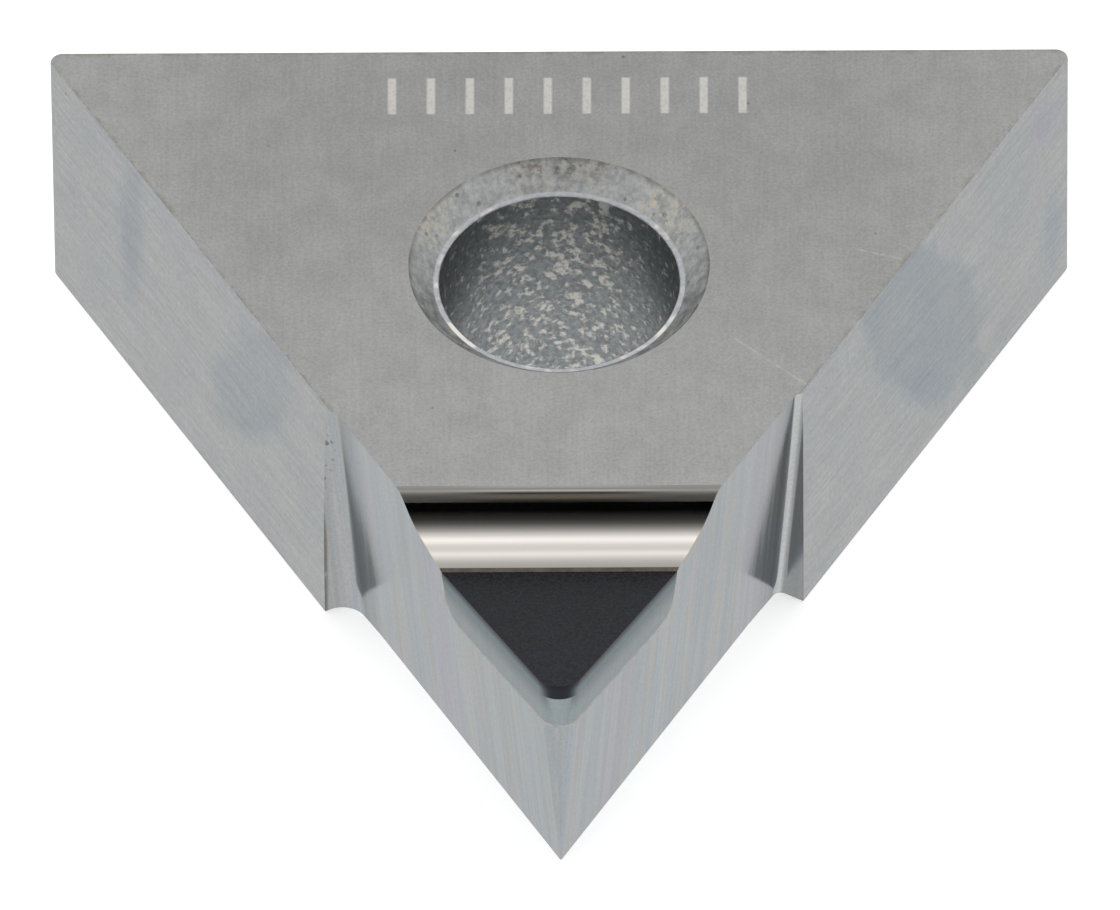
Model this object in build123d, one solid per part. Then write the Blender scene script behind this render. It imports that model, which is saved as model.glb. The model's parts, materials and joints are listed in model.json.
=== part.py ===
from build123d import *
from math import cos, radians, sin, tan
import os

# Turning insert: an equilateral carbide triangle with a dished hole. One corner is ground with relief
# and carries a brazed blank, which is a layer of sintered diamond on a carbide backing.
# Frame: origin on the hole's axis in the lower seating face, +Z up to the face with the cutting edge,
# -Y towards the ground corner. Lengths are in millimetres and angles in degrees.

# The triangular body
inscribed_circle = 9.525
thickness = 4.76
spare_corner_radius = 0.2

# The hole for the clamping pin. Both faces have the same conical dish round it, and the pressing leaves
# a narrow flat land between the foot of the dish and the hole
hole_diameter = 3.81
dish_land = 0.095
dish_depth = 0.39
dish_angle = 45.0

# The ground corner: two relieved flanks, the stock they take off at the upper face, and the nose,
# whose radius is measured at the tip of the cutting edge
flank_relief = 5.0
flank_stock = 0.095
nose_radius = 0.4
nose_drop = 0.41

# The notches where the grinding of each flank stops. Reach runs from the sharp corner of the triangle
# along its side, and the ground face rises a little before it meets the square wall of the notch
left_notch_reach = 7.5
left_notch_fillet = 0.42
right_notch_reach = 7.71
right_notch_fillet = 0.15
run_out_length = 0.9
run_out_rise = 0.03

# The chip groove behind the blank, ground straight across the corner. Its length is level
groove_length = 0.99
groove_wall_angle = 59.0
groove_floor_angle = 24.0
groove_lip_radius = 0.2
groove_root_radius = 0.33
groove_step = 0.045

# The blank, lying at the rake angle in its pocket. Its length is level, from the nose to its upright back
rake_angle = 8.0
blank_length = 2.89
blank_thickness = 0.96
diamond_thickness = 0.32
pocket_corner_radius = 0.4
braze_film = 0.05

# Worked out from the values above
inradius = inscribed_circle / 2
sharp_corner = 2 * inradius
half_corner = radians(30)
beyond_corner = sharp_corner + inradius
relief_slope = tan(radians(flank_relief))
rake = radians(rake_angle)
nose_tip = 2 * (inradius - flank_stock - nose_drop * relief_slope) - nose_radius
blank_back = nose_tip - blank_length
groove_start = blank_back - groove_length


def hole_cutter():
    """The hole, with the dish and its flat land in each face."""
    hole_radius = hole_diameter / 2
    land_radius = hole_radius + dish_land
    dish_slope = tan(radians(dish_angle))
    lower_half = Polyline(
        (0, 0, -thickness),
        (land_radius + (dish_depth + thickness) / dish_slope, 0, -thickness),
        (land_radius, 0, dish_depth),
        (hole_radius, 0, dish_depth),
        (hole_radius, 0, thickness / 2),
        (0, 0, thickness / 2),
        close=True,
    )
    lower_half = revolve(make_face(lower_half), Axis.Z)
    return lower_half + mirror(lower_half, Plane.XY.offset(thickness / 2))


def flank_sweep(side, reach, foot_fillet):
    """What the grinding of one flank passes over, from in front of the nose back to the notch's wall."""
    along = Vector(side * sin(half_corner), cos(half_corner), 0)
    outward = Vector(side * cos(half_corner), -sin(half_corner), 0)
    flank_normal = (outward - Vector(0, 0, relief_slope)).normalized()
    start = Vector(0, -sharp_corner, thickness) - outward * flank_stock
    frame = Plane(origin=start, x_dir=along, z_dir=along.cross(flank_normal))
    profile = FilletPolyline(
        (-inradius, 0),
        (reach - run_out_length, 0),
        (reach, run_out_rise),
        (reach, inradius),
        (-inradius, inradius),
        radius=[0, 0, foot_fillet, 0, 0],
        close=True,
    )
    return extrude(frame * make_face(profile), amount=2 * thickness, both=True)


def nose_sweep():
    """What the grinding of the nose passes over: the sharp corner round a cone that narrows to the seat."""
    apex = sharp_corner - 2 * flank_stock
    upper_radius = nose_radius + nose_drop * relief_slope
    lower_radius = max(upper_radius - thickness * relief_slope, 0)
    cone_height = (upper_radius - lower_radius) / relief_slope
    cone = Pos(0, 0, thickness - cone_height) * Cone(lower_radius, upper_radius, cone_height, align=None)
    side = 2 * upper_radius * cos(half_corner)
    front = 2 * upper_radius * sin(half_corner)
    corner = make_face(Polyline((0, 0), (side, -front), (0, -4 * front), (-side, -front), close=True))
    return Pos(0, 2 * upper_radius - apex, 0) * (extrude(corner, amount=thickness) - cone)


def ground_insert():
    """The insert after its corner is ground, as if the body and the blank were one piece."""
    triangle = RegularPolygon(inradius, 3, major_radius=False, rotation=-90)
    triangle = fillet(triangle.vertices(), spare_corner_radius)
    insert = extrude(triangle, amount=thickness) - hole_cutter()
    insert -= flank_sweep(-1, left_notch_reach, left_notch_fillet)
    insert -= flank_sweep(1, right_notch_reach, right_notch_fillet)
    return insert - nose_sweep()


def rake_height(front):
    """The height of the diamond's face at a distance in front of the hole."""
    return thickness - nose_drop - (nose_tip - front) * tan(rake)


def across_corner(points, radii):
    """An outline in the plane of symmetry, carried right across the corner."""
    outline = FilletPolyline([(0, -front, height) for front, height in points], radius=radii, close=True)
    return extrude(make_face(outline), amount=inscribed_circle, both=True)


def chip_space():
    """The space ground away over the corner: the groove's lip, wall, root and floor, then the rake face."""
    wall = tan(radians(groove_wall_angle))
    floor = tan(radians(groove_floor_angle))
    floor_front = blank_back - braze_film
    floor_height = rake_height(blank_back) + groove_step
    root_run = (thickness - floor_height - (floor_front - groove_start) * floor) / (wall - floor)
    points = [
        (groove_start - inradius / 2, thickness),
        (groove_start, thickness),
        (groove_start + root_run, thickness - root_run * wall),
        (floor_front, floor_height),
        (blank_back, rake_height(blank_back)),
        (beyond_corner, rake_height(beyond_corner)),
        (beyond_corner, 2 * thickness),
        (groove_start - inradius / 2, 2 * thickness),
    ]
    return across_corner(points, [0, groove_lip_radius, groove_root_radius, 0, 0, 0, 0, 0])


def blank_space(gap, depth, corner_radius):
    """The plate under the rake face, a gap larger than the blank, with an upright back and an open top."""
    back = blank_back - gap
    drop = (depth + gap) / cos(rake)
    points = [
        (back, 2 * thickness),
        (beyond_corner, 2 * thickness),
        (beyond_corner, rake_height(beyond_corner) - drop),
        (back, rake_height(back) - drop),
    ]
    return across_corner(points, [0, 0, 0, corner_radius])


corner_and_body = ground_insert() - chip_space()
pocket = blank_space(braze_film, blank_thickness, pocket_corner_radius)
blank = blank_space(0, blank_thickness, pocket_corner_radius - braze_film)
diamond = blank_space(0, diamond_thickness, 0)

nodes = {
    "insert_body": corner_and_body - pocket,
    "braze_layer": (corner_and_body & pocket) - blank,
    "tip_substrate": (corner_and_body & blank) - diamond,
    "diamond_layer": corner_and_body & diamond,
}

os.makedirs("parts", exist_ok=True)
for name, shape in nodes.items():
    export_step(shape, f"parts/{name}.step")
    print(name, round(shape.volume, 4), "mm3")
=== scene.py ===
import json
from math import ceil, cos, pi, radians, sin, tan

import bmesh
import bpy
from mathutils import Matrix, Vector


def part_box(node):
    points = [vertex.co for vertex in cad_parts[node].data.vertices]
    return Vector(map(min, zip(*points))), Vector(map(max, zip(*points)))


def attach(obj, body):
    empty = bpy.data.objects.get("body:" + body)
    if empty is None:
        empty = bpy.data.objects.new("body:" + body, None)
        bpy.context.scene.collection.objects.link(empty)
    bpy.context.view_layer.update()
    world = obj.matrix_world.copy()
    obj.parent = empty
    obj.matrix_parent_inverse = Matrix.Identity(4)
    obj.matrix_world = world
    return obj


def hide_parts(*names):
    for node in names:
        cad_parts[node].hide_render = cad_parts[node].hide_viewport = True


bl_info = {
    "name": "Diamond-tipped turning insert",
    "version": (1, 0, 0),
    "blender": (4, 5, 0),
    "location": "View3D > Sidebar > Insert",
    "description": "Models a triangular carbide insert with a brazed diamond tip, its finishes and a studio",
    "category": "Object",
}

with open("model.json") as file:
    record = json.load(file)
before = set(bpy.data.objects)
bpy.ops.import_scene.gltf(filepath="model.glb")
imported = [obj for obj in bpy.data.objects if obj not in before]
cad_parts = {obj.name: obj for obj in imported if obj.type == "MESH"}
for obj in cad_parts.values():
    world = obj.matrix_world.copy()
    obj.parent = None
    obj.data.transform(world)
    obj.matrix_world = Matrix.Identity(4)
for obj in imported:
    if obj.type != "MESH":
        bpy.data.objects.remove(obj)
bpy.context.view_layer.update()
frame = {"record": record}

MM = 0.001
HALF_CORNER = radians(30)
ALONG = sin(HALF_CORNER), cos(HALF_CORNER)
OUT = cos(HALF_CORNER), -sin(HALF_CORNER)

# The turn from one point of an arc to the next, and the number of points where a count is simpler
ARC_TURN = radians(5)
LATHED_TURN = radians(15)
MIRROR_TURN = radians(2)
LATHED_STEPS = 192
CURVE_STEPS = 32
BEVEL_SEGMENTS = 3

# Points closer than this are one, and faces that meet at less than this angle are shaded as one
WELD = 0.0002 * MM
SMOOTH_ANGLE = radians(20)

# How much of its normal points up or down on a wall, on a land and on a ground face
WALL, LAND, FACE = 0.35, 0.93, 0.99


def bore_radius():
    """The radius of the frame's bore, in metres."""
    bore = next(mount for mount in frame["record"]["mounts"] if mount["name"] == "bore")
    return bore["dims"]["r_mm"] * MM


# The properties that a user would change

def length(name, description, default):
    """A length in metres, shown with enough digits for a film of braze."""
    return bpy.props.FloatProperty(name=name, description=description, default=default, min=0.0,
                                   precision=6, subtype="DISTANCE", unit="LENGTH")


def angle(name, description, default):
    """An angle, given in degrees and held in radians."""
    return bpy.props.FloatProperty(name=name, description=description, default=radians(default),
                                   subtype="ANGLE", unit="ROTATION")


def colour(name, description, default):
    """A linear colour."""
    return bpy.props.FloatVectorProperty(name=name, description=description, default=default,
                                         size=3, min=0.0, max=1.0, subtype="COLOR")


def share(name, description, default):
    """A number from 0 to 1."""
    return bpy.props.FloatProperty(name=name, description=description, default=default,
                                   min=0.0, max=1.0, subtype="FACTOR")


class InsertSizes(bpy.types.PropertyGroup):
    """Sizes of the insert. Lengths are level or upright unless the description says otherwise."""

    thickness: length("Thickness", "Height of the insert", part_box("insert_body")[1].z)
    inradius: length("Inscribed radius", "From the hole's axis to a side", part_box("insert_body")[1].y)
    spare_corner_radius: length("Spare corner radius", "Radius of the two unground corners", 0.2 * MM)
    outline_bevel: length("Outline bevel", "Softness of the pressed outline's edges", 0.02 * MM)
    hole_radius: length("Hole radius", "Radius of the pin's hole", bore_radius())
    dish_land: length("Dish land", "Width of the flat ring round the hole", 0.095 * MM)
    dish_depth: length("Dish depth", "Depth of the cone round the hole", 0.39 * MM)
    dish_angle: angle("Dish angle", "Slope of the cone round the hole", 45.0)
    dish_softness: length("Dish softness", "Radius of the dish's edges", 0.03 * MM)
    flank_relief: angle("Flank relief", "Lean of the ground flanks", 5.0)
    flank_stock: length("Flank stock", "What the flanks' grinding takes off at the top", 0.095 * MM)
    nose_radius: length("Nose radius", "Radius of the nose at the cutting edge", 0.4 * MM)
    nose_drop: length("Nose drop", "Depth of the cutting edge below the top at the nose", 0.41 * MM)
    left_notch_reach: length("Left notch reach", "From the sharp corner to the left wall", 7.5 * MM)
    left_notch_fillet: length("Left notch fillet", "Radius at the foot of the left wall", 0.42 * MM)
    right_notch_reach: length("Right notch reach", "From the sharp corner to the right wall", 7.71 * MM)
    right_notch_fillet: length("Right notch fillet", "Radius at the foot of the right wall", 0.15 * MM)
    run_out_length: length("Run-out length", "Length over which a flank rises to its notch", 0.9 * MM)
    run_out_rise: length("Run-out rise", "How far a flank rises there", 0.03 * MM)
    groove_length: length("Groove length", "From the groove's lip to the blank", 0.99 * MM)
    groove_wall_angle: angle("Groove wall angle", "Slope of the groove's wall", 59.0)
    groove_floor_angle: angle("Groove floor angle", "Slope of the groove's floor", 24.0)
    groove_lip_radius: length("Groove lip radius", "Radius of the groove's upper edge", 0.2 * MM)
    groove_root_radius: length("Groove root radius", "Radius between the groove's wall and floor", 0.8 * MM)
    groove_hollow: angle("Groove hollow", "How much steeper the floor starts, and gentler it ends", 6.0)
    groove_step: length("Groove step", "Drop from the groove's floor to the blank", 0.045 * MM)
    rake_angle: angle("Rake angle", "Slope of the diamond's face", 8.0)
    blank_length: length("Blank length", "From the nose to the blank's upright back", 2.89 * MM)
    blank_thickness: length("Blank thickness", "Thickness of the blank, square to its face", 0.96 * MM)
    diamond_thickness: length("Diamond thickness", "Thickness of the diamond layer", 0.32 * MM)
    pocket_corner_radius: length("Pocket corner radius", "Radius in the pocket's inner corner", 0.4 * MM)
    braze_film: length("Braze film", "Thickness of the braze in the pocket", 0.05 * MM)


class InsertFinishes(bpy.types.PropertyGroup):
    """Base colours of the insert's finishes."""

    top: colour("Ground faces", "Carbide of the two ground faces", (0.345, 0.345, 0.335))
    mark: colour("Mark", "Frosted strokes on the upper face", (0.600, 0.588, 0.556))
    side: colour("Sides", "Carbide of the sides as they left the press", (0.410, 0.418, 0.416))
    flank: colour("Ground flanks", "Carbide of the relieved flanks", (0.372, 0.392, 0.405))
    groove: colour("Groove", "Polished carbide of the chip groove", (0.565, 0.543, 0.506))
    bore: colour("Bore", "Sintered skin in the hole", (0.210, 0.226, 0.232))
    # Painted glints: the pale specks of the hole stand for light caught by its rough skin
    specks: colour("Specks", "Pale specks in the hole", (0.720, 0.700, 0.640))
    dish: colour("Dish", "Sintered skin of the dish", (0.395, 0.402, 0.402))
    land: colour("Land", "Ring at the foot of the dish", (0.400, 0.420, 0.440))
    braze: colour("Braze", "Braze metal where it is ground", (0.410, 0.402, 0.355))
    seam: colour("Seam", "Stained braze in the groove", (0.165, 0.148, 0.124))
    backing: colour("Backing", "Carbide backing of the diamond", (0.285, 0.326, 0.336))
    diamond: colour("Diamond", "Black sintered diamond", (0.0098, 0.0108, 0.0145))
    ground_diamond: colour("Ground diamond", "Diamond where the flanks are ground", (0.165, 0.225, 0.238))


class InsertStudio(bpy.types.PropertyGroup):
    """The camera and the light."""

    aim: bpy.props.FloatVectorProperty(name="Aim", description="Point that the camera looks at", size=3,
                                       default=(-0.007365 * MM, -0.977268 * MM, 1.433231 * MM),
                                       precision=6, subtype="TRANSLATION", unit="LENGTH")
    distance: length("Distance", "From the aim point to the camera", 650 * MM)
    elevation: angle("Elevation", "Height of the camera above the horizon", 45.9059)
    azimuth: angle("Azimuth", "Turn of the camera round the insert", 0.4095)
    roll: angle("Roll", "Tilt of the camera about its line of sight", 0.5495)
    focal_length: bpy.props.FloatProperty(name="Focal length", description="Focal length in millimetres",
                                          default=1314.85, min=1.0)
    floor_size: length("Floor size", "Side of the pale floor", 1.2)
    floor_lift: share("Floor lift", "White that the camera sees on top of the lit floor", 0.5)
    floor_gap: length("Floor gap", "How far the floor lies under the insert", 0.005 * MM)
    world_strength: share("World strength", "Soft light from all round", 0.62)


# Modelling by hand tools

def deselect():
    """Leaves edit mode and lets go of everything."""
    if bpy.context.object and bpy.context.object.mode != "OBJECT":
        bpy.ops.object.mode_set(mode="OBJECT")
    bpy.ops.object.select_all(action="DESELECT")


def pick(piece):
    """Makes one piece the only one that an operator acts on."""
    deselect()
    piece.select_set(True)
    bpy.context.view_layer.objects.active = piece


def edit(piece):
    """Opens one piece in edit mode with all of it selected."""
    pick(piece)
    bpy.ops.object.mode_set(mode="EDIT")
    bpy.ops.mesh.select_all(action="SELECT")


def outward(piece):
    """Turns the faces outwards, and closes the piece."""
    edit(piece)
    bpy.ops.mesh.normals_make_consistent(inside=False)
    bpy.ops.object.mode_set(mode="OBJECT")
    return piece


def rounded(corners, radii, turn=ARC_TURN):
    """An outline with its corners rounded by true arcs, with a point at each small turn."""
    outline = []
    for index, (corner, radius) in enumerate(zip(corners, radii)):
        corner = Vector(corner)
        if not radius:
            outline.append(corner)
            continue
        back = (Vector(corners[index - 1]) - corner).normalized()
        ahead = (Vector(corners[(index + 1) % len(corners)]) - corner).normalized()
        half = back.angle(ahead) / 2
        centre = corner + (back + ahead).normalized() * radius / sin(half)
        first = corner + back * radius / tan(half) - centre
        last = corner + ahead * radius / tan(half) - centre
        steps = ceil((pi - 2 * half) / turn)
        for step in range(steps + 1):
            outline.append(centre + first.normalized().slerp(last.normalized(), step / steps) * radius)
    return outline


def drawn(name, outline, place):
    """A flat face with the given outline, drawn in a frame of its own."""
    deselect()
    bpy.ops.mesh.primitive_circle_add(vertices=len(outline), radius=MM, fill_type="NGON")
    face = bpy.context.object
    face.name = name
    for vertex, (across, along) in zip(face.data.vertices, outline):
        vertex.co = place @ Vector((across, along, 0))
    return face


def prism(name, outline, place, depth):
    """A flat outline extruded along its frame's z axis, half the depth each way."""
    axis = place.to_3x3() @ Vector((0, 0, 1))
    piece = drawn(name, outline, place @ Matrix.Translation((0, 0, -depth / 2)))
    edit(piece)
    bpy.ops.mesh.extrude_region_move(TRANSFORM_OT_translate={"value": axis * depth})
    return outward(piece)


def lathed(name, profile):
    """A closed shape spun round the hole's axis from a profile that starts and ends on that axis."""
    upright = Matrix(((1, 0, 0, 0), (0, 0, 1, 0), (0, 1, 0, 0), (0, 0, 0, 1)))
    piece = drawn(name, profile, upright)
    edit(piece)
    bpy.ops.mesh.delete(type="ONLY_FACE")
    bpy.ops.mesh.select_all(action="SELECT")
    bpy.ops.mesh.spin(steps=LATHED_STEPS, angle=2 * pi, center=(0, 0, 0), axis=(0, 0, 1))
    bpy.ops.mesh.select_all(action="SELECT")
    bpy.ops.mesh.remove_doubles(threshold=WELD)
    bpy.ops.mesh.delete_loose()
    return outward(piece)


def finish_with(piece, whole, *parts):
    """Gives a piece a finish all over, and then others on the faces that pass a test."""
    piece.data.materials.clear()
    for material in (whole, *(material for material, _ in parts)):
        piece.data.materials.append(material)
    for face in piece.data.polygons:
        face.material_index = 0
        for slot, (_, test) in enumerate(parts, start=1):
            if test(face):
                face.material_index = slot
    return piece


def combine(piece, tool):
    """Cuts one piece with another. The new faces take the finish of the tool that cut them."""
    pick(piece)
    bpy.ops.object.modifier_add(type="BOOLEAN")
    cut = piece.modifiers[-1]
    cut.object = tool
    cut.operation = "DIFFERENCE"
    cut.solver = "EXACT"
    cut.material_mode = "TRANSFER"
    bpy.ops.object.modifier_apply(modifier=cut.name)
    bpy.data.objects.remove(tool)


def smooth(piece):
    """Shades arcs smooth and keeps the flat faces beside them flat."""
    pick(piece)
    bpy.ops.object.shade_smooth_by_angle(angle=SMOOTH_ANGLE)
    bpy.ops.object.modifier_add(type="WEIGHTED_NORMAL")
    weighted = piece.modifiers[-1]
    weighted.keep_sharp = True
    weighted.weight = 100
    bpy.ops.object.modifier_apply(modifier=weighted.name)


def seat(piece, node):
    """Puts a finished piece in the place of its CAD node."""
    smooth(piece)
    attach(piece, "root")
    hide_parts(node)


# Forms worked out from the sizes

class Form:
    """Places that more than one piece needs, in metres."""

    def __init__(self):
        sizes = bpy.context.scene.insert_sizes
        self.sizes = sizes
        self.margin = sizes.inradius / 10
        self.sharp_corner = 2 * sizes.inradius
        self.beyond = self.sharp_corner + sizes.inradius
        self.relief = tan(sizes.flank_relief)
        self.sky = 2 * sizes.thickness
        self.cone_radius = sizes.nose_radius + sizes.nose_drop * self.relief
        self.cone_centre = 2 * self.cone_radius - (self.sharp_corner - 2 * sizes.flank_stock)
        edge_stock = sizes.flank_stock + sizes.nose_drop * self.relief
        self.nose_tip = 2 * (sizes.inradius - edge_stock) - sizes.nose_radius
        self.blank_back = self.nose_tip - sizes.blank_length
        self.groove_start = self.blank_back - sizes.groove_length

    def rake_height(self, front):
        """Height of the diamond's face at a distance in front of the hole."""
        sizes = self.sizes
        return sizes.thickness - sizes.nose_drop - (self.nose_tip - front) * tan(sizes.rake_angle)

    def across_corner(self, name, outline, width, finish):
        """An outline in the plane of symmetry, given as front and height, carried across the corner."""
        place = Matrix(((0, 0, 1, 0), (-1, 0, 0, 0), (0, 1, 0, 0), (0, 0, 0, 1)))
        return finish_with(prism(name, outline, place, width), finish)

    def plate(self, gap, depth):
        """The back and the far end of a plate under the rake face, a gap larger than the blank."""
        back = self.blank_back - gap
        drop = (depth + gap) / cos(self.sizes.rake_angle)
        return (back, self.rake_height(back) - drop), (self.beyond, self.rake_height(self.beyond) - drop)


def triangle(form):
    """The pressed triangle, with its spare corners rounded and its outline's edges softened."""
    sizes = form.sizes
    side = 2 * form.sharp_corner * cos(HALF_CORNER)
    corners = [(-side / 2, sizes.inradius), (0, -form.sharp_corner), (side / 2, sizes.inradius)]
    radii = [sizes.spare_corner_radius, 0, sizes.spare_corner_radius]
    place = Matrix.Translation((0, 0, sizes.thickness / 2))
    piece = prism("pressed_triangle", rounded(corners, radii), place, sizes.thickness)
    edit(piece)
    bpy.ops.mesh.select_mode(type="EDGE")
    bpy.ops.mesh.select_all(action="DESELECT")
    shape = bmesh.from_edit_mesh(piece.data)
    for edge in shape.edges:
        edge.select_set(abs(edge.verts[0].co.z - edge.verts[1].co.z) < form.margin)
    bmesh.update_edit_mesh(piece.data)
    bpy.ops.mesh.bevel(offset=sizes.outline_bevel, segments=BEVEL_SEGMENTS)
    bpy.ops.mesh.select_mode(type="VERT")
    bpy.ops.object.mode_set(mode="OBJECT")
    return piece


def hole_tool(form, bore, dish, land):
    """What the hole takes out of the triangle: the bore, and the dish with its flat land in each face."""
    sizes = form.sizes
    land_radius = sizes.hole_radius + sizes.dish_land
    rise = sizes.dish_depth + form.margin
    rim_radius = land_radius + rise / tan(sizes.dish_angle)
    heights = (-form.margin, sizes.dish_depth, sizes.dish_depth)
    softness = (0, sizes.dish_softness, sizes.dish_softness)
    lower = list(zip((rim_radius, land_radius, sizes.hole_radius), heights, softness))
    upper = [(radius, sizes.thickness - height, soft) for radius, height, soft in reversed(lower)]
    points = [(0, -form.margin, 0)] + lower + upper + [(0, sizes.thickness + form.margin, 0)]
    profile = rounded([point[:2] for point in points], [point[2] for point in points], LATHED_TURN)
    return finish_with(
        lathed("hole_tool", profile),
        dish,
        (bore, lambda face: abs(face.normal.z) < WALL),
        (land, lambda face: abs(face.normal.z) > LAND),
    )


def flank_tool(form, side, reach, fillet, finish):
    """What the grinding of one flank passes over, from in front of the nose back to the notch's wall."""
    sizes = form.sizes
    along = Vector((side * ALONG[0], ALONG[1], 0))
    out = Vector((side * OUT[0], OUT[1], 0))
    normal = (out - Vector((0, 0, form.relief))).normalized()
    start = Vector((0, -form.sharp_corner, sizes.thickness)) - out * sizes.flank_stock
    place = Matrix.LocRotScale(start, Matrix((along, normal, along.cross(normal))).transposed(), None)
    corners = [
        (-sizes.inradius, 0),
        (reach - sizes.run_out_length, 0),
        (reach, sizes.run_out_rise),
        (reach, sizes.inradius),
        (-sizes.inradius, sizes.inradius),
    ]
    outline = rounded(corners, [0, 0, fillet, 0, 0])
    return finish_with(prism("flank_tool", outline, place, 2 * form.sky), finish)


def nose_tool(form, finish):
    """What the grinding of the nose passes over: the sharp corner round a cone that narrows downwards."""
    sizes = form.sizes
    radius = form.cone_radius
    centre = Vector((0, form.cone_centre))
    start, sweep = radians(210), radians(120)

    def outline(height):
        small = radius - (sizes.thickness - height) * form.relief
        points = [Vector((2 * radius * OUT[0], -radius)), Vector((0, -4 * radius)),
                  Vector((-2 * radius * OUT[0], -radius))]
        for step in range(CURVE_STEPS + 1):
            turn = start + sweep * step / CURVE_STEPS
            points.append(small * Vector((cos(turn), sin(turn))))
        return [centre + point for point in points]

    low, high = -form.margin / 10, sizes.thickness + form.margin / 10
    tool = prism("nose_tool", outline(low), Matrix.Translation((0, 0, (low + high) / 2)), high - low)
    places = list(zip(outline(low), outline(high)))
    for vertex in tool.data.vertices:
        if vertex.co.z > sizes.thickness / 2:
            vertex.co.xy = min(places, key=lambda pair: (pair[0] - vertex.co.xy).length)[1]
    return finish_with(tool, finish)


def grind_corner(form, piece, finish):
    """Grinds both flanks and the nose of a piece."""
    sizes = form.sizes
    combine(piece, flank_tool(form, -1, sizes.left_notch_reach, sizes.left_notch_fillet, finish))
    combine(piece, flank_tool(form, 1, sizes.right_notch_reach, sizes.right_notch_fillet, finish))
    combine(piece, nose_tool(form, finish))


def hollowed(outline, foot, steep, gentle):
    """Makes the groove's floor, which ends at the foot, a curve that starts steep and ends gentle."""
    root = foot - 1
    while (outline[root - 1].y - outline[root].y) / (outline[root].x - outline[root - 1].x) < steep:
        root -= 1
    first, last = outline[root], outline[foot]
    middle = (first.y - last.y - (last.x - first.x) * gentle) / (steep - gentle)
    pull = Vector((first.x + middle, first.y - middle * steep))
    parts = [step / CURVE_STEPS for step in range(1, CURVE_STEPS)]
    curve = [first.lerp(pull, part).lerp(pull.lerp(last, part), part) for part in parts]
    return outline[:root + 1] + curve + outline[foot:]


def groove_tool(form, finish):
    """What the chip groove and the rake face take off the corner."""
    sizes = form.sizes
    wall = tan(sizes.groove_wall_angle)
    floor = tan(sizes.groove_floor_angle)
    floor_front = form.blank_back - sizes.braze_film
    floor_height = form.rake_height(form.blank_back) + sizes.groove_step
    fall = sizes.thickness - floor_height - (floor_front - form.groove_start) * floor
    root_run = fall / (wall - floor)
    corners = [
        (form.groove_start - sizes.inradius / 2, sizes.thickness),
        (form.groove_start, sizes.thickness),
        (form.groove_start + root_run, sizes.thickness - root_run * wall),
        (floor_front, floor_height),
        (form.blank_back, form.rake_height(form.blank_back)),
        (form.beyond, form.rake_height(form.beyond)),
        (form.beyond, form.sky),
    ]
    radii = [0, sizes.groove_lip_radius, sizes.groove_root_radius, 0, 0, 0, 0]
    outline = rounded(corners, radii, MIRROR_TURN)[1:]
    foot = outline.index(Vector(corners[3]))
    steep, gentle = (tan(sizes.groove_floor_angle + turn * sizes.groove_hollow) for turn in (1, -1))
    outline = hollowed(outline, foot, steep, gentle)
    outline.append(Vector((outline[0].x, form.sky)))
    return form.across_corner("groove_tool", outline, 4 * sizes.inradius, finish)


def pocket_tool(form, finish):
    """The pocket for the blank and its film of braze."""
    sizes = form.sizes
    back, front = form.plate(sizes.braze_film, sizes.blank_thickness)
    corners = [(back[0], form.sky), back, front, (form.beyond, form.sky)]
    outline = rounded(corners, [0, sizes.pocket_corner_radius, 0, 0])
    return form.across_corner("pocket_tool", outline, 4 * sizes.inradius, finish)


# Shader tools

def rgba(colour):
    """A colour with its alpha, or the socket that it comes from."""
    return colour if isinstance(colour, bpy.types.NodeSocket) else (*colour, 1.0)


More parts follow.
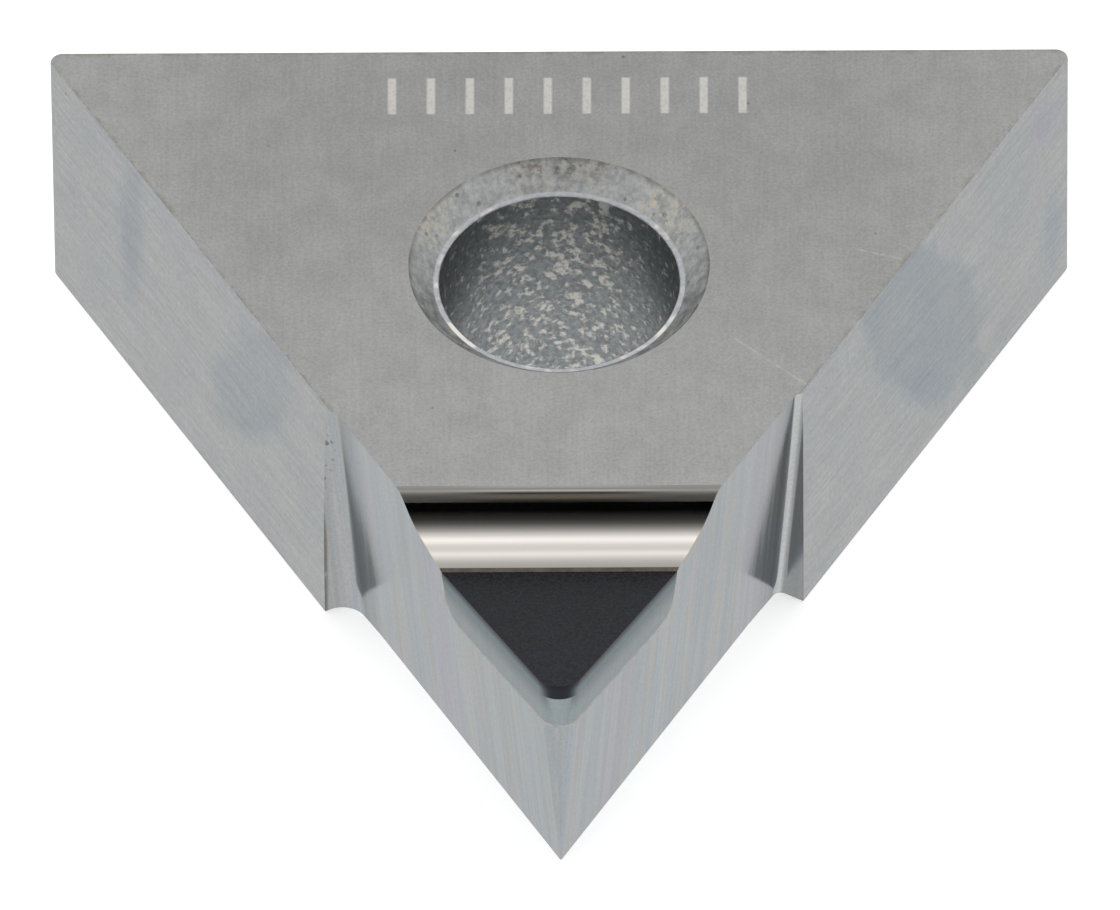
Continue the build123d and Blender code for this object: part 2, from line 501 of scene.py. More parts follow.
class Nodes:
    """A node tree while it is wired. A value is a number, a tuple or another node's socket."""

    def __init__(self, tree):
        self.tree = tree

    def put(self, kind, inputs=None, **settings):
        """Adds a node, sets or links its inputs by name or number, and gives back its outputs."""
        made = self.tree.nodes.new(kind)
        for key, value in settings.items():
            setattr(made, key, value)
        for socket, value in (inputs or {}).items():
            if isinstance(value, bpy.types.NodeSocket):
                self.tree.links.new(value, made.inputs[socket])
            else:
                made.inputs[socket].default_value = value
        return made.outputs

    def math(self, operation, *values):
        """One step of arithmetic on numbers."""
        return self.put("ShaderNodeMath", dict(enumerate(values)), operation=operation)[0]

    def times(self, first, second):
        """The product of two numbers."""
        return self.math("MULTIPLY", first, second)

    def plus(self, first, second):
        """The sum of two numbers."""
        return self.math("ADD", first, second)

    def vector(self, operation, *values):
        """One step of arithmetic on vectors, which gives a vector."""
        return self.put("ShaderNodeVectorMath", dict(enumerate(values)), operation=operation)[0]

    def measure(self, operation, *values):
        """One step of arithmetic on vectors, which gives a number."""
        return self.put("ShaderNodeVectorMath", dict(enumerate(values)), operation=operation)["Value"]

    def scaled(self, vector, scale):
        """A vector or a colour times a number."""
        return self.put("ShaderNodeVectorMath", {0: vector, "Scale": scale}, operation="SCALE")[0]

    def apart(self, vector):
        """The three parts of a vector."""
        return self.put("ShaderNodeSeparateXYZ", {0: vector})

    def together(self, *parts):
        """A vector from its three parts."""
        return self.put("ShaderNodeCombineXYZ", dict(enumerate(parts)))[0]

    def ranged(self, value, low, high, to_low=0.0, to_high=1.0):
        """Maps a value smoothly from one range to another."""
        inputs = {"Value": value, "From Min": low, "From Max": high, "To Min": to_low, "To Max": to_high}
        return self.put("ShaderNodeMapRange", inputs, interpolation_type="SMOOTHSTEP")["Result"]

    def spread(self, cloud, to_low, to_high):
        """Maps a noise, which is nearly all between 0.3 and 0.7, to another range."""
        return self.ranged(cloud, 0.3, 0.7, to_low, to_high)

    def noise(self, scale, detail=2.0, vector=None):
        """Cloudy noise from 0 to 1, with about the given number of clouds in a millimetre."""
        inputs = {"Vector": vector or self.place, "Scale": scale, "Detail": detail, "Roughness": 0.6}
        return self.put("ShaderNodeTexNoise", inputs)["Fac"]

    def mixed(self, mask, first, second, **settings):
        """The first colour, turning to the second where the mask is 1."""
        inputs = {0: mask, 6: rgba(first), 7: rgba(second)}
        return self.put("ShaderNodeMix", inputs, data_type="RGBA", **settings)[2]

    def ramped(self, value, low, high, stops):
        """A row of colours from the lowest to the highest value, with their places between 0 and 1."""
        part = self.put("ShaderNodeMapRange", {"Value": value, "From Min": low, "From Max": high})["Result"]
        row = self.put("ShaderNodeValToRGB", {0: part})[0]
        marks = row.node.color_ramp.elements
        marks[0].color, marks[1].color = rgba(stops[0][1]), rgba(stops[-1][1])
        for position, colour in stops[1:-1]:
            marks.new(position).color = rgba(colour)
        return row

    def graded(self, value, low, high, brightest, stops):
        """A row of greys up to the brightest of them, which becomes white."""
        row = [(position, [light / brightest] * 3) for position, light in stops]
        return self.ramped(value, low, high, row)


class Effect(Nodes):
    """A shader node group. Vectors and numbers among its inputs are told apart by their defaults."""

    def __init__(self, name, inputs):
        super().__init__(bpy.data.node_groups.new(name, "ShaderNodeTree"))
        for label, default in inputs.items():
            kind = "NodeSocketVector" if isinstance(default, tuple) else "NodeSocketFloat"
            socket = self.tree.interface.new_socket(label, in_out="INPUT", socket_type=kind)
            socket.default_value = default
        self.inputs = self.put("NodeGroupInput")
        self.place = self.inputs["Vector"]

    def give(self, outputs):
        """Makes the group's outputs and wires them."""
        for label in outputs:
            self.tree.interface.new_socket(label, in_out="OUTPUT", socket_type="NodeSocketFloat")
        self.put("NodeGroupOutput", outputs)
        return self.tree


def lines():
    """Lines left by grinding or pressing: noise drawn out along one axis."""
    made = Effect("Lines", {"Vector": (0, 0, 0), "Fineness": (1, 1, 1)})
    drawn_out = made.vector("MULTIPLY", made.place, made.inputs["Fineness"])
    return made.give({"Fine": made.noise(1.0, 3.0, drawn_out), "Broad": made.noise(0.18, 2.0, drawn_out)})


def specks():
    """Scattered specks or pits: small cells, of which only a share is kept."""
    made = Effect("Specks", {"Vector": (0, 0, 0), "Per millimetre": 8.0, "Share": 0.3, "Size": 0.3})
    cells = made.put("ShaderNodeTexVoronoi", {"Vector": made.place, "Scale": made.inputs["Per millimetre"]})
    parts = made.put("ShaderNodeSeparateColor", {"Color": cells["Color"]})
    kept = made.math("LESS_THAN", parts["Red"], made.inputs["Share"])
    uneven = made.times(parts["Green"], made.inputs["Size"])
    spot = made.ranged(made.math("DIVIDE", cells["Distance"], uneven), 1.1, 0.6)
    return made.give({"Mask": made.times(kept, spot)})


def soft_patch():
    """A soft round patch at a place, with an uneven edge."""
    made = Effect("Soft patch", {"Vector": (0, 0, 0), "Centre": (0, 0, 0), "Reach": (1, 1, 1), "Edge": 0.5})
    away = made.vector("SUBTRACT", made.place, made.inputs["Centre"])
    distance = made.measure("LENGTH", made.vector("DIVIDE", away, made.inputs["Reach"]))
    wobble = made.ranged(made.noise(1.6, 3.0), 0.25, 0.75, -0.12, 0.12)
    near = made.math("SUBTRACT", 1.0, made.inputs["Edge"])
    return made.give({"Mask": made.ranged(made.plus(distance, wobble), 1.0, near)})


def scratch():
    """A straight scratch between two places."""
    made = Effect("Scratch", {"Vector": (0, 0, 0), "From": (0, 0, 0), "To": (1, 0, 0), "Width": 0.02})
    whole = made.vector("SUBTRACT", made.inputs["To"], made.inputs["From"])
    reached = made.vector("SUBTRACT", made.place, made.inputs["From"])
    done = made.math("DIVIDE", made.measure("DOT_PRODUCT", reached, whole),
                     made.measure("DOT_PRODUCT", whole, whole))
    foot = made.scaled(whole, made.put("ShaderNodeClamp", {"Value": done})[0])
    away = made.measure("DISTANCE", reached, foot)
    return made.give({"Mask": made.ranged(away, made.inputs["Width"], 0.0)})


EFFECTS = {"Lines": lines, "Specks": specks, "Soft patch": soft_patch, "Scratch": scratch}


# The finishes. Places and widths on the insert are in millimetres here

# How far apart the two flanks are told, so that their patterns differ
FLANKS_APART = 3.7


class Finish(Nodes):
    """A material while it is made, from one of the base colours. Its places are in millimetres."""

    def __init__(self, name, colour, metallic=1.0, edge_tint=0.8, specular=0.5):
        self.material = bpy.data.materials.new(name)
        self.material.use_nodes = True
        super().__init__(self.material.node_tree)
        self.shader = self.tree.nodes["Principled BSDF"].inputs
        self.shader["Metallic"].default_value = metallic
        self.shader["Specular IOR Level"].default_value = specular
        self.shader["Specular Tint"].default_value = (edge_tint, edge_tint, edge_tint, 1)
        coordinates = self.put("ShaderNodeTexCoord")["Object"]
        scale = (1 / MM, 1 / MM, 1 / MM)
        self.place = self.put("ShaderNodeMapping", {"Vector": coordinates, "Scale": scale})["Vector"]
        self.colours = bpy.context.scene.insert_finishes
        self.colour = tuple(getattr(self.colours, colour))
        self.form = Form()
        self.sizes = self.form.sizes

    def shade(self, light):
        """Makes the colour lighter or darker by a value."""
        self.colour = self.scaled(self.colour, light)

    def mottle(self, cloud, darkest, lightest):
        """Makes the colour uneven by a noise."""
        self.shade(self.spread(cloud, darkest, lightest))

    def cover(self, mask, colour):
        """Turns the colour to another where the mask is 1."""
        self.colour = self.mixed(mask, self.colour, colour)

    def stain(self, mask, tint, amount=1.0):
        """Multiplies the colour by a tint where the mask is 1."""
        self.colour = self.mixed(self.times(mask, amount), self.colour, tint, blend_type="MULTIPLY")

    def done(self, roughness, height, depth):
        """Feeds the shader its colour, its roughness and a bump of the given depth in metres."""
        bump = self.put("ShaderNodeBump", {"Height": height, "Distance": depth})["Normal"]
        for name, socket in (("Base Color", self.colour), ("Roughness", roughness), ("Normal", bump)):
            self.tree.links.new(socket, self.shader[name])
        return self.material

    def effect(self, name, inputs):
        """Places a shared effect, which is made when it is first needed."""
        group = bpy.data.node_groups.get(name) or EFFECTS[name]()
        return self.put("ShaderNodeGroup", {"Vector": self.place, **inputs}, node_tree=group)

    def lined(self, fineness, vector=None):
        """Lines: a fine and a broad noise."""
        return self.effect("Lines", {"Vector": vector or self.place, "Fineness": fineness})

    def pits(self, per_millimetre, share, size):
        """Small dark pits."""
        return self.effect("Specks", {"Per millimetre": per_millimetre, "Share": share, "Size": size})["Mask"]

    def patch(self, centre, reach, edge, vector=None):
        """A soft patch."""
        inputs = {"Vector": vector or self.place, "Centre": centre, "Reach": reach, "Edge": edge}
        return self.effect("Soft patch", inputs)["Mask"]

    def along(self, direction, vector=None):
        """How far a place lies along a direction."""
        return self.measure("DOT_PRODUCT", vector or self.place, direction)

    def within(self, mask, value, start, end, edge):
        """A mask kept only where a value is between two others."""
        mask = self.times(mask, self.ranged(value, start - edge, start + edge))
        return self.times(mask, self.ranged(value, end + edge, end - edge))

    def beside_flank(self):
        """The same place told by the ground flank: along it, out of it and up, apart for the two flanks."""
        across, deep, high = self.apart(self.place)
        folded = self.together(self.math("ABSOLUTE", across), deep, high)
        side = self.times(self.math("SIGN", across), FLANKS_APART)
        back = self.plus(self.along((*ALONG, 0), folded), side)
        return self.together(back, self.along((*OUT, -self.form.relief), folded), high)

    def nose_share(self):
        """How nearly the ground corner faces straight ahead: 0 on the flanks and 1 along the nose."""
        away = self.vector("SUBTRACT", self.place, (0, self.form.cone_centre / MM, 0))
        level = self.vector("MULTIPLY", away, (1, 1, 0))
        return self.along((0, -1, 0), self.vector("NORMALIZE", level))

    def depth_in_blank(self):
        """How far a place lies below the diamond's face."""
        lean = self.sizes.rake_angle
        level = self.form.rake_height(0) / MM * cos(lean)
        return self.math("SUBTRACT", level, self.along((0, sin(lean), cos(lean))))


def ground_carbide_face():
    """The ground faces: a fine mottle with faint lines, small pits, dull outer edges and a frosted mark."""
    made = Finish("ground_carbide_face", "top")
    fine = made.lined((20.0, 0.9, 1.0))["Fine"]
    grain = made.noise(20.0, 3.0)
    made.shade(made.ranged(grain, 0.25, 0.75, 0.88, 1.12))
    made.mottle(fine, 0.97, 1.03)
    made.mottle(made.noise(1.3, 4.0), 0.95, 1.05)
    across, deep, high = made.apart(made.place)
    # Painted light: the face is made lighter towards its outer corners and towards its front
    made.shade(made.ranged(made.math("ABSOLUTE", across), 4.5, 7.5, 1.0, 1.11))
    made.shade(made.ranged(deep, 3.0, -4.0, 0.95, 1.08))
    made.stain(made.pits(3.0, 0.14, 0.13), (0.6, 0.58, 0.55))
    made.stain(beside_outline(made), (0.83, 0.80, 0.73))
    for first, last in (((2.79, -1.66, 4.76), (3.9, -2.66, 4.76)), ((4.7, 0.32, 4.76), (5.4, 0.10, 4.76))):
        whole = made.effect("Scratch", {"From": first, "To": last, "Width": 0.020})["Mask"]
        broken = made.ranged(made.noise(6.0), 0.4, 0.6, 0.15, 0.6)
        made.cover(made.times(whole, broken), (0.62, 0.61, 0.57))
    made.cover(frosted_mark(made, across, deep, high), made.colours.mark)
    height = made.plus(grain, made.times(fine, 0.1))
    return made.done(made.spread(grain, 0.38, 0.50), height, 0.0012 * MM)


def beside_outline(made):
    """A narrow uneven band along the outline of the triangle."""
    inradius = made.sizes.inradius / MM
    right, left, back = (made.along((x, y, 0)) for x, y in (OUT, (-OUT[0], OUT[1]), (0, 1)))
    reach = made.math("MAXIMUM", made.math("MAXIMUM", right, left), back)
    uneven = made.spread(made.noise(2.5, 4.0), 0.10, -0.02)
    return made.ranged(made.plus(reach, uneven), inradius - 0.05, inradius + 0.06)


def frosted_mark(made, across, deep, high):
    """A plain frosted row of short strokes along the back of the upper face."""
    pitch, stroke, first, last, front, back = 0.62, 0.13, -2.66, 3.12, 3.36, 4.16
    turn = made.math("PINGPONG", made.math("SUBTRACT", across, first), pitch / 2)
    mask = made.ranged(turn, stroke / 2 + 0.02, stroke / 2 - 0.02)
    mask = made.within(mask, across, first - 0.1, last + 0.1, 0.015)
    mask = made.within(mask, deep, front, back, 0.015)
    mask = made.times(mask, made.math("GREATER_THAN", high, made.sizes.thickness / MM / 2))
    return made.times(mask, made.ranged(made.noise(14.0), 0.25, 0.55, 0.6, 0.95))


# The bluish darker patches on the sides: centre, reach, softness, tint and amount. The third coordinate is
# sheared, so that a patch leans as the photograph shows
SIDE_SHEAR = 1.79
SIDE_PATCHES = (
    ((-6.81, 2.28, 15.4), (0.44, 0.76, 2.2), 0.8, (0.84, 0.87, 0.91), 1.0),
    ((-4.84, -1.14, 11.9), (1.25, 2.15, 1.50), 0.4, (0.87, 0.90, 0.93), 0.9),
    ((-4.75, -1.25, 11.0), (0.95, 1.65, 0.60), 0.8, (0.90, 0.93, 0.96), 0.7),
    ((5.83, 0.56, 13.2), (1.55, 2.68, 2.00), 0.30, (0.84, 0.88, 0.91), 1.0),
    ((5.75, 0.45, 11.9), (1.15, 2.00, 0.60), 0.8, (0.90, 0.93, 0.97), 0.7),
    ((7.75, 3.88, 17.9), (0.56, 0.98, 0.90), 0.8, (0.94, 0.93, 1.00), 1.0),
    ((7.86, 4.08, 15.5), (0.26, 0.45, 1.40), 0.8, (0.86, 0.92, 0.98), 0.8),
)


def carbide_side():
    """The sides: fine level lines, bluish darker patches and a few small pits."""
    made = Finish("carbide_side", "side")
    fine = made.lined((0.8, 0.8, 22.0))["Fine"]
    grain = made.noise(15.0, 3.0)
    made.shade(made.ranged(grain, 0.25, 0.75, 0.86, 1.14))
    made.mottle(fine, 0.92, 1.08)
    made.stain(made.ranged(made.noise(0.8, 3.0), 0.35, 0.7), (0.93, 0.95, 0.98))
    across, deep, high = made.apart(made.place)
    slant = made.times(made.math("ABSOLUTE", across), SIDE_SHEAR)
    sheared = made.together(across, deep, made.plus(high, slant))
    for centre, reach, edge, tint, amount in SIDE_PATCHES:
        made.stain(made.patch(centre, reach, edge, sheared), tint, amount)
    made.stain(made.pits(2.4, 0.16, 0.11), (0.62, 0.64, 0.68))
    return made.done(made.spread(grain, 0.30, 0.42), made.plus(grain, fine), 0.0008 * MM)


def ground_carbide_flank():
    """The relieved flanks: upright lines in faint blue, cream and lilac, and a few pits by the left notch."""
    made = Finish("ground_carbide_flank", "flank")
    told = made.beside_flank()
    fine = made.lined((13.0, 13.0, 0.35), told)
    broad = made.lined((3.0, 3.0, 0.12), told)
    tints = (0.96, 1.0, 1.03), (1.03, 1.01, 0.97), (1.0, 0.97, 1.02)
    cool, warm, lilac = (Vector(made.colour) * Vector(tint) for tint in tints)
    made.colour = made.mixed(made.ranged(broad["Fine"], 0.38, 0.62), cool, warm)
    made.cover(made.ranged(broad["Broad"], 0.5, 0.65), lilac)
    made.mottle(fine["Fine"], 0.94, 1.06)
    made.mottle(fine["Broad"], 0.95, 1.05)
    made.mottle(made.noise(20.0), 0.95, 1.05)
    # Painted shade: a little darker where the ground corner faces straight ahead, along the nose
    made.shade(made.ranged(made.nose_share(), 0.985, 1.0, 1.0, 0.93))
    shade_notches(made, told)
    wear_and_lip_reflection = made.patch((-3.74, -3.03, 3.7), (0.26, 0.26, 1.0), 0.4)
    made.stain(made.times(wear_and_lip_reflection, made.pits(9.0, 0.8, 0.75)), (0.50, 0.50, 0.50))
    return made.done(made.spread(fine["Fine"], 0.13, 0.21), fine["Fine"], 0.0006 * MM)


# The painted light in each notch (painted reflections), from its run-out over the fillet to the wall
LEFT_NOTCH = ((0.0, 1.0), (0.48, 0.68), (0.54, 0.68), (0.63, 1.0), (0.84, 1.0), (0.92, 0.88), (0.94, 0.86),
              (0.98, 0.86), (1.0, 1.0))
RIGHT_NOTCH = ((0.0, 1.0), (0.6, 0.74), (0.74, 0.74), (0.79, 1.22), (0.90, 1.22), (0.93, 0.70), (1.0, 0.70))


def shade_notches(made, told):
    """Painted reflections in the notches: darker run-outs, a lit fillet that is brighter on the right and a
    darker band by each wall; and a stained outer edge on the left.
    """
    back, out, high = made.apart(told)
    corner = made.form.sharp_corner / MM * cos(HALF_CORNER)
    left = made.sizes.left_notch_reach / MM - corner - FLANKS_APART
    right = made.sizes.right_notch_reach / MM - corner + FLANKS_APART
    brightest = 1.25
    # Painted reflections: darker bands, a painted highlight on the right fillet and darker bands by the walls
    for wall, run, stops in ((left, 1.0, LEFT_NOTCH), (right, 0.75, RIGHT_NOTCH)):
        light = made.graded(back, wall - run, wall + 0.05, brightest, stops)
        made.shade(made.times(light, brightest))
    outward = made.plus(out, made.times(high, made.form.relief))
    inradius = made.sizes.inradius / MM
    edge = made.ranged(outward, inradius - 0.09, inradius - 0.02)
    for value, start, end in ((back, left - 0.03, left - 0.01), (back, left + 0.1, left + 0.05),
                              (high, 4.6, 3.9), (made.noise(2.0, 3.0), 0.25, 0.5)):
        edge = made.times(edge, made.ranged(value, start, end))
    made.stain(edge, (0.50, 0.46, 0.40))


def ground_backing():
    """The backing of the diamond: ground as the flanks are, darker towards the diamond."""
    made = Finish("ground_backing", "backing", edge_tint=0.72)
    fine = made.lined((13.0, 13.0, 0.35), made.beside_flank())["Fine"]
    light = made.ranged(made.depth_in_blank(), 0.25, 0.75, 0.62, 1.0)
    nose = made.ranged(made.nose_share(), 0.6, 0.95)
    made.shade(made.math("MAXIMUM", light, made.times(nose, 1.02)))
    made.mottle(fine, 0.95, 1.05)
    made.mottle(made.noise(20.0), 0.95, 1.05)
    return made.done(made.spread(fine, 0.20, 0.28), fine, 0.0005 * MM)


# The painted reflections on the groove's rounded lip: light and dark bands from the groove up to the top face
LIP_PAINTED_REFLECTIONS = (
    (0.0, (0.03, 0.027, 0.022)), (0.18, (0.15, 0.135, 0.11)), (0.42, (0.47, 0.42, 0.34)),
    (0.60, (0.28, 0.26, 0.215)), (0.73, (0.035, 0.031, 0.026)), (0.80, (0.14, 0.134, 0.122)),
    (0.87, (0.40, 0.40, 0.39)), (0.94, (0.24, 0.24, 0.235)), (1.0, (0.34, 0.34, 0.335)),
)


def polished_groove():
    """The chip groove: nearly a mirror, with faint lines across it, painted cream highlights at its ends and
    a dull lip with painted reflection bands.
    """
    made = Finish("polished_groove", "groove")
    lined = made.lined((0.5, 24.0, 24.0))
    across, _, high = made.apart(made.place)
    made.mottle(lined["Broad"], 0.96, 1.04)
    flank = (made.sizes.inradius - made.sizes.flank_stock - made.form.relief * made.sizes.thickness) / MM
    # Painted highlight: cream along both ends of the groove, where it meets the flanks
    end = made.ranged(made.along((0, 1, 0), made.beside_flank()), flank - 0.045, flank - 0.01)
    made.cover(made.times(end, 0.6), (0.62, 0.54, 0.38))
    top = made.sizes.thickness / MM
    lip = made.ranged(high, top - 0.17, top - 0.15)
    aside = made.ranged(made.math("ABSOLUTE", across), 0.6, 2.1, 0.0, 0.85)
    # Painted reflections: light and dark bands on the lip, evener to the sides
    wear_and_lip_reflection = made.mixed(aside, made.ramped(high, top - 0.16, top, LIP_PAINTED_REFLECTIONS), (0.26, 0.255, 0.24))
    made.cover(lip, wear_and_lip_reflection)
    polish = made.spread(lined["Fine"], 0.07, 0.10)
    roughness = made.put("ShaderNodeMix", {0: lip, 2: polish, 3: 0.34})[0]
    return made.done(roughness, lined["Fine"], 0.0001 * MM)


def sintered_bore():
    """The wall of the hole: dark skin with soft warm white painted glints, denser low in the middle, and
    painted light that makes it lighter low in the middle.
    """
    made = Finish("sintered_bore", "bore")
    across, _, high = made.apart(made.place)
    low_down = made.ranged(high, 4.0, 1.4)
    middle = made.ranged(made.math("ABSOLUTE", across), 1.7, 0.7)
    cloud = made.plus(made.noise(6.0), made.plus(made.times(low_down, 0.015), made.times(middle, 0.07)))
    broken = made.ranged(made.noise(11.0), 0.36, 0.50, 0.45, 1.0)
    # Painted glints: the pale specks stand for light caught by the rough skin
    pale = made.times(made.ranged(cloud, 0.555, 0.72), broken)
    # Painted light: lighter low down and in the middle, as if lit through the hole's open bottom
    light = made.times(low_down, made.ranged(middle, 0.0, 1.0, 0.5, 1.0))
    made.cover(light, Vector(made.colour) * 1.15)
    made.mottle(made.noise(11.0, 3.0), 0.78, 1.22)
    made.cover(made.times(pale, 0.82), made.colours.specks)
    return made.done(made.spread(cloud, 0.34, 0.5), cloud, 0.006 * MM)


# The cream patches of the dish: centre, reach and amount
CREAM_PATCHES = (
    ((1.75, 1.30, 4.6), (0.85, 0.85, 0.9), 1.0),
    ((-1.9, 1.0, 4.6), (0.8, 0.9, 0.9), 0.7),
    ((0.2, 2.1, 4.6), (1.4, 0.5, 0.9), 0.4),
)


def sintered_dish():
    """The cone round the hole: cloudy grey skin with cream patches, pits and a dark outer rim."""
    made = Finish("sintered_dish", "dish")
    cloud = made.noise(4.0, 5.0)
    made.mottle(cloud, 0.78, 1.20)
    made.mottle(made.noise(12.0, 3.0), 0.86, 1.14)
    cream = made.ranged(made.noise(8.0, 4.0), 0.45, 0.66)
    for centre, reach, amount in CREAM_PATCHES:
        near = made.times(made.patch(centre, reach, 0.7), amount)
        made.cover(made.times(cream, near), (0.56, 0.53, 0.43))
    rim = made.patch((0, 2.35, 4.72), (1.5, 0.40, 0.4), 0.7)
    made.stain(made.times(made.ranged(made.noise(9.0, 4.0), 0.50, 0.60), rim), (0.66, 0.63, 0.57))
    made.stain(made.pits(6.0, 0.35, 0.30), (0.62, 0.61, 0.58))
    radius = made.measure("LENGTH", made.vector("MULTIPLY", made.place, (1, 1, 0)))
    edge = made.ranged(radius, 2.32, 2.385)
    made.stain(made.times(edge, made.ranged(made.noise(3.0, 4.0), 0.35, 0.6, 0.3, 1.0)), (0.66, 0.64, 0.58))
    return made.done(made.spread(cloud, 0.42, 0.6), cloud, 0.008 * MM)


def bright_land():
    """The ring at the foot of the dish: bluish grey, with painted cream glints in places."""
    made = Finish("bright_land", "land")
    cloud = made.noise(1.7)
    made.mottle(made.noise(12.0), 0.96, 1.16)
    # Painted glints: cream where the flat ring catches the light
    made.cover(made.ranged(cloud, 0.50, 0.64), (0.80, 0.78, 0.72))
    return made.done(made.spread(cloud, 0.25, 0.4), cloud, 0.002 * MM)


def stained_metal(name, colour, rough):
    """The braze, a little stained."""
    made = Finish(name, colour)
    cloud = made.noise(5.0, 3.0)
    made.mottle(cloud, 0.8, 1.2)
    return made.done(made.spread(cloud, rough - 0.05, rough + 0.05), cloud, 0.001 * MM)


def polished_diamond():
    """The diamond's polished face: near black, with a fine grain and a few light grains."""
    made = Finish("polished_diamond", "diamond", metallic=0.0, specular=0.2)
    grain = made.noise(20.0, 3.0)
    made.mottle(grain, 0.35, 1.7)
    made.cover(made.pits(4.0, 0.10, 0.10), (0.12, 0.12, 0.11))
    return made.done(made.spread(grain, 0.22, 0.32), grain, 0.0004 * MM)


def ground_diamond():
    """The diamond's ground edge: black at the nose and the cutting edge, greyer down the flanks."""
    made = Finish("ground_diamond", "diamond", metallic=0.0, specular=0.1)
    grain = made.noise(26.0, 3.0)
    grey = made.ranged(made.depth_in_blank(), -0.02, 0.24)
    aside = made.ranged(made.nose_share(), 0.96, 0.60, 0.05, 1.0)
    made.colour = Vector(made.colour) * 1.1
    made.cover(made.times(grey, aside), made.colours.ground_diamond)
    made.mottle(grain, 0.85, 1.15)
    return made.done(made.spread(grain, 0.35, 0.45), grain, 0.0004 * MM)


# Operators

class CUTTING_INSERT_OT_body(bpy.types.Operator):
    """Model the carbide body: the pressed triangle, its hole, its ground corner, groove and pocket"""

    bl_idname = "cutting_insert.body"
    bl_label = "Carbide body"

    def execute(self, context):
        form = Form()
        flank = ground_carbide_flank()
        body = triangle(form)
        body.name = "carbide_body"
        finish_with(body, carbide_side(), (ground_carbide_face(), lambda face: abs(face.normal.z) > FACE))
        combine(body, hole_tool(form, sintered_bore(), sintered_dish(), bright_land()))
        grind_corner(form, body, flank)
        combine(body, groove_tool(form, polished_groove()))
        combine(body, pocket_tool(form, flank))
        seat(body, "insert_body")
        return {"FINISHED"}


class CUTTING_INSERT_OT_tip(bpy.types.Operator):
    """Model the brazed tip: the film of braze, the carbide backing and the diamond layer"""

    bl_idname = "cutting_insert.tip"
    bl_label = "Brazed tip"

    def execute(self, context):
        form = Form()
        sizes = form.sizes
        film_back, film_front = form.plate(sizes.braze_film, sizes.blank_thickness)
        blank_back, blank_front = form.plate(0, sizes.blank_thickness)
        joint_back, joint_front = form.plate(0, sizes.diamond_thickness)
        rake_back, rake_front = form.plate(0, 0)
        film_top = (film_back[0], rake_back[1] + sizes.groove_step)
        film_radius = sizes.pocket_corner_radius
        blank_radius = film_radius - sizes.braze_film
        backing = ground_backing()
        braze = stained_metal("braze_metal", "braze", 0.35)
        seam = stained_metal("stained_seam", "seam", 0.55)
        for name, corners, radii, finish, ground, node, slot in (
            ("braze_film", (film_top, film_back, film_front, blank_front, blank_back, rake_back),
             (0, film_radius, 0, 0, blank_radius, 0), seam, braze, "braze_layer", "braze"),
            ("diamond_backing", (joint_back, blank_back, blank_front, joint_front),
             (0, blank_radius, 0, 0), backing, backing, "tip_substrate", "tip_carbide"),
            ("diamond_tip", (rake_back, joint_back, joint_front, rake_front),
             (0, 0, 0, 0), polished_diamond(), ground_diamond(), "diamond_layer", "diamond"),
        ):
            piece = form.across_corner(name, rounded(corners, radii), sizes.inradius, finish)
            grind_corner(form, piece, ground)
            seat(piece, node)
        return {"FINISHED"}


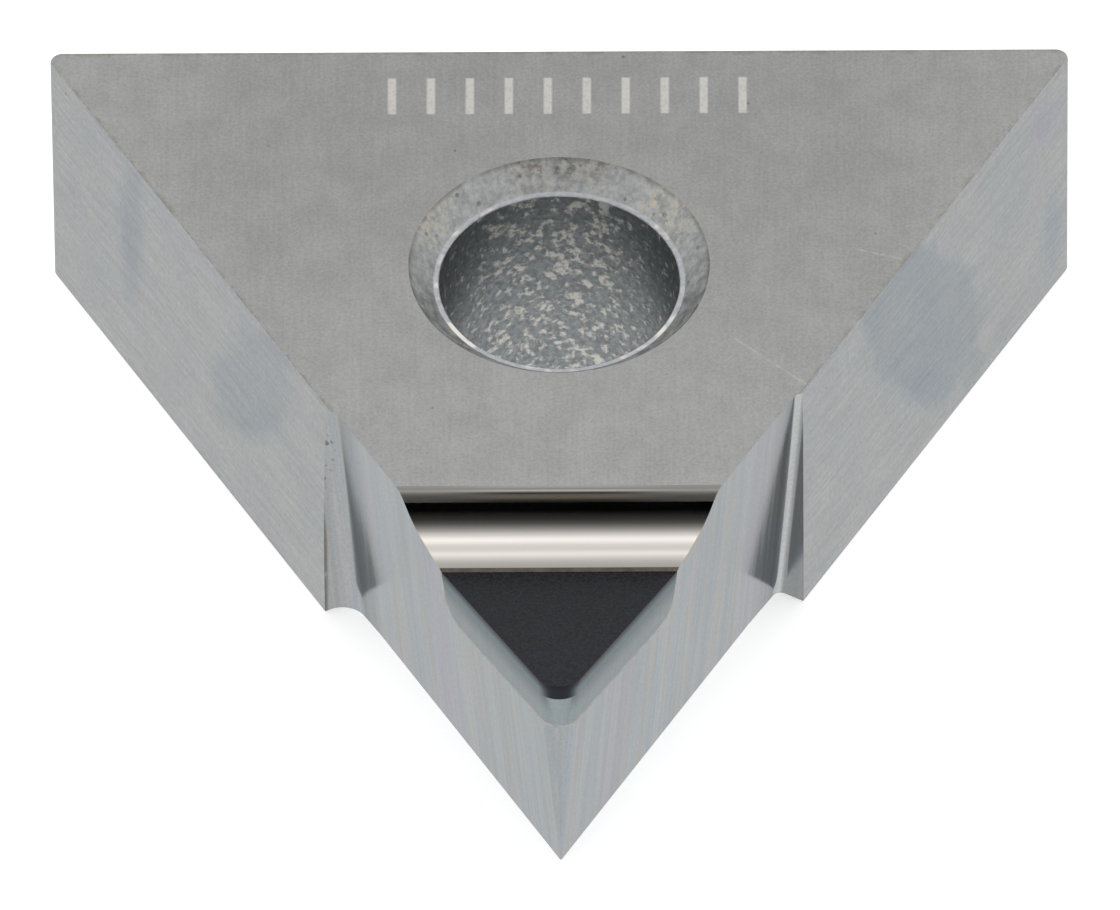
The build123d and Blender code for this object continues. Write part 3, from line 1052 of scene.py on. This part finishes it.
class CUTTING_INSERT_OT_stage(bpy.types.Operator):
    """Set the floor, the cards, the lamps, the world, the camera and the plain view"""

    bl_idname = "cutting_insert.stage"
    bl_label = "Studio"

    def execute(self, context):
        studio = context.scene.insert_studio
        self.floor(studio)
        self.cards()
        self.lamps()
        self.world(studio)
        self.camera(studio)
        context.scene.view_settings.view_transform = "Standard"
        return {"FINISHED"}

    def sheet(self, name, material_name, **placed):
        """A flat sheet with a bare material, and that material's nodes."""
        deselect()
        bpy.ops.mesh.primitive_plane_add(**placed)
        sheet = bpy.context.object
        sheet.name = name
        material = bpy.data.materials.new(material_name)
        material.use_nodes = True
        material.node_tree.nodes.clear()
        sheet.data.materials.append(material)
        return sheet, Nodes(material.node_tree)

    def floor(self, studio):
        """A pale floor that keeps the shadow. Reflections see the white world instead of it."""
        floor, made = self.sheet("floor", "pale_floor", size=studio.floor_size,
                                 location=(0, 0, -studio.floor_gap))
        floor.visible_glossy = False
        matt = made.put("ShaderNodeBsdfDiffuse", {"Color": (0.93, 0.93, 0.93, 1)})[0]
        lift = made.times(made.put("ShaderNodeLightPath")["Is Camera Ray"], studio.floor_lift)
        white = made.put("ShaderNodeEmission", {"Strength": lift})[0]
        both = made.put("ShaderNodeAddShader", {0: matt, 1: white})[0]
        made.put("ShaderNodeOutputMaterial", {"Surface": both})

    def card(self, name, place, turn, size, strengths):
        """A card that only reflections see, with its strengths from its lower or front edge to the other."""
        card, made = self.sheet(name, name, size=1, location=place, rotation=turn)
        card.scale = (*size, 1)
        height = made.apart(made.put("ShaderNodeTexCoord")["Object"])[1]
        brightest = max(strength for _, strength in strengths)
        shade = made.graded(height, -0.5, 0.5, brightest, strengths)
        glow = made.put("ShaderNodeEmission", {"Color": shade, "Strength": brightest})[0]
        made.put("ShaderNodeOutputMaterial", {"Surface": glow})
        card.visible_camera = False
        card.visible_diffuse = False
        card.visible_shadow = False

    def cards(self):
        """Cards for the groove's mirror, dark in front, with two bright bands overhead."""
        upright, flat = (radians(90), 0, 0), (0, 0, 0)
        tall, narrow, deep = 0.12, 0.034, 0.080
        self.card("front_card", (0, -0.060, tall / 2), upright, (narrow, tall), (
            (0.0, 0.001), (0.175, 0.001), (0.24, 0.014), (0.39, 0.055), (0.52, 0.130), (0.70, 0.34),
            (1.0, 0.70)))
        self.card("roof_card", (0, -0.020, tall), flat, (narrow, deep), (
            (0.0, 0.70), (0.26, 1.14), (0.335, 1.82), (0.42, 1.16), (0.49, 1.04), (0.575, 1.50), (0.66, 1.06),
            (0.74, 0.80), (0.88, 0.62), (1.0, 0.60)))

    def lamps(self):
        """Soft boxes overhead and at both sides."""
        for name, place, size, power in (
            ("top_lamp", (0.0, 0.10, 0.45), 0.35, 0.75),
            ("left_lamp", (-0.40, -0.10, 0.25), 0.3, 0.35),
            ("right_lamp", (0.40, -0.15, 0.25), 0.3, 0.30),
        ):
            lamp = bpy.data.lights.new(name, "AREA")
            lamp.size = size
            lamp.energy = power
            holder = bpy.data.objects.new(name, lamp)
            bpy.context.scene.collection.objects.link(holder)
            holder.location = place
            holder.rotation_euler = (-Vector(place)).to_track_quat("-Z", "Y").to_euler()
            holder.visible_glossy = False

    def world(self, studio):
        """Even light from all round. The camera and reflections see plain white."""
        world = bpy.data.worlds.new("studio")
        bpy.context.scene.world = world
        world.use_nodes = True
        world.node_tree.nodes.clear()
        made = Nodes(world.node_tree)
        path = made.put("ShaderNodeLightPath")
        soft = made.put("ShaderNodeBackground", {"Strength": studio.world_strength})[0]
        white = made.put("ShaderNodeBackground", {"Color": (1, 1, 1, 1), "Strength": 1.0})[0]
        mirror = made.math("MAXIMUM", path["Is Glossy Ray"], path["Is Transmission Ray"])
        seen = made.math("MAXIMUM", path["Is Camera Ray"], mirror)
        mixed = made.put("ShaderNodeMixShader", {0: seen, 1: soft, 2: white})[0]
        made.put("ShaderNodeOutputWorld", {"Surface": mixed})

    def camera(self, studio):
        """The camera at the photograph's angle, far off, with a long lens."""
        around, above = studio.azimuth, studio.elevation
        back = Vector((sin(around) * cos(above), -cos(around) * cos(above), sin(above)))
        right = Vector((cos(around), sin(around), 0))
        level = Matrix((right, back.cross(right), back)).transposed()
        turned = level @ Matrix.Rotation(-studio.roll, 3, "Z")
        data = bpy.data.cameras.new("camera")
        data.lens = studio.focal_length
        data.clip_start = studio.distance / 10
        data.clip_end = studio.distance * 4
        camera = bpy.data.objects.new("camera", data)
        bpy.context.scene.collection.objects.link(camera)
        camera.matrix_world = Matrix.LocRotScale(Vector(studio.aim) + back * studio.distance, turned, None)
        bpy.context.scene.camera = camera


class CUTTING_INSERT_PT_panel(bpy.types.Panel):
    """Lists the steps and the properties"""

    bl_idname = "CUTTING_INSERT_PT_panel"
    bl_label = "Turning insert"
    bl_space_type = "VIEW_3D"
    bl_region_type = "UI"
    bl_category = "Insert"

    def draw(self, context):
        for step in STEPS:
            self.layout.operator(step.bl_idname)
        for name in GROUPS:
            group = getattr(context.scene, name)
            box = self.layout.box()
            for label in group.__annotations__:
                box.prop(group, label)


GROUPS = {"insert_sizes": InsertSizes, "insert_finishes": InsertFinishes, "insert_studio": InsertStudio}
STEPS = (CUTTING_INSERT_OT_body, CUTTING_INSERT_OT_tip, CUTTING_INSERT_OT_stage)
CLASSES = (*GROUPS.values(), *STEPS, CUTTING_INSERT_PT_panel)


def register():
    for cls in CLASSES:
        bpy.utils.register_class(cls)
    for name, group in GROUPS.items():
        setattr(bpy.types.Scene, name, bpy.props.PointerProperty(type=group))


def unregister():
    for name in GROUPS:
        delattr(bpy.types.Scene, name)
    for cls in reversed(CLASSES):
        bpy.utils.unregister_class(cls)


def main():
    """Registers the add-on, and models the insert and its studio."""
    register()
    bpy.ops.cutting_insert.body()
    bpy.ops.cutting_insert.tip()
    bpy.ops.cutting_insert.stage()


if __name__ == "__main__":
    main()
